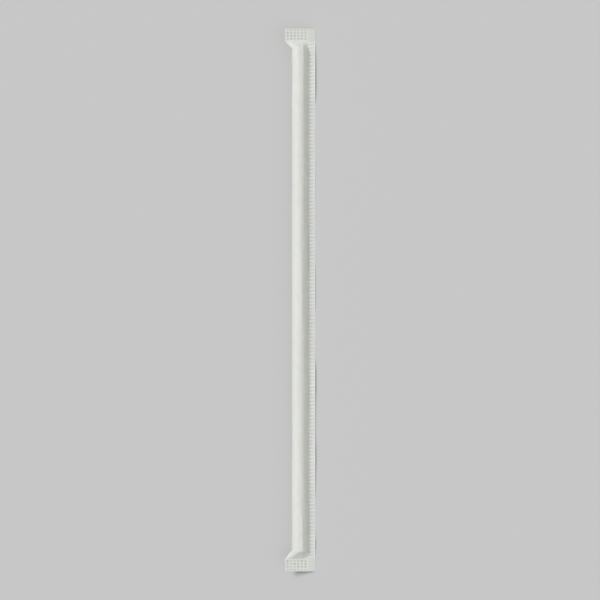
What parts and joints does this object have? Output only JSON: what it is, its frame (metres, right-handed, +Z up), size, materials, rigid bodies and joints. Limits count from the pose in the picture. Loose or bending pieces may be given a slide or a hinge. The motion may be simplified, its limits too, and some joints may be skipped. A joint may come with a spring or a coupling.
{
  "type": "wrapped drinking straw",
  "caption": "Straight plastic drinking straw sealed in a white paper sleeve with a ribbed side seam and flat crimped ends.",
  "frame": {"origin": "middle of the footprint, on the surface that the wrapped straw lies on", "axes": "+X along the straw, +Y towards the side of the seam, +Z up"},
  "size_m": [0.2282, 0.0116, 0.0062],
  "materials": {
    "straw_plastic": "smooth extruded polypropylene, white, slightly see-through",
    "wrapper_paper": "thin white machine-glazed paper, matt, pressed along the seam and at both ends"
  },
  "bodies": {
    "root": {"straw": "straw_plastic", "paper_wrapper": "wrapper_paper"}
  },
  "joints": []
}
